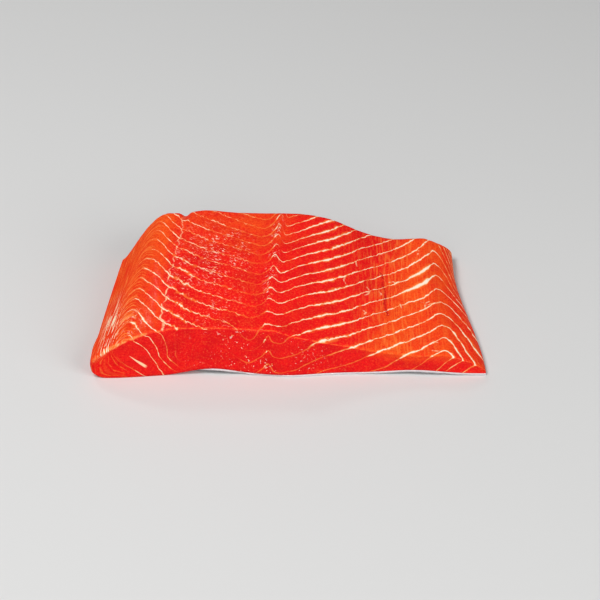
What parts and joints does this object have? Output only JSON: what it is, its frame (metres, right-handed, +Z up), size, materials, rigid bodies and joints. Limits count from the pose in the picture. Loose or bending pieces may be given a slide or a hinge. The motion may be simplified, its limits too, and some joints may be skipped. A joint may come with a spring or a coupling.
{
  "type": "salmon fillet",
  "caption": "Raw skin-on salmon fillet portion lying skin down: thick loin tapering to a thin belly, with a cut face at the front and back.",
  "frame": {"origin": "middle of the bounding box in plan, on the surface that the fillet lies on", "axes": "+X across the fish from the thick loin to the thin belly, +Y along the fish from the front cut to the back cut, +Z up"},
  "size_m": [0.1516, 0.0776, 0.0253],
  "materials": {
    "flesh": "wet raw flesh, red-orange with cream lines",
    "skin": "wet silver-grey scaled skin"
  },
  "bodies": {
    "root": {"flesh": "flesh", "skin": "skin"}
  },
  "joints": []
}
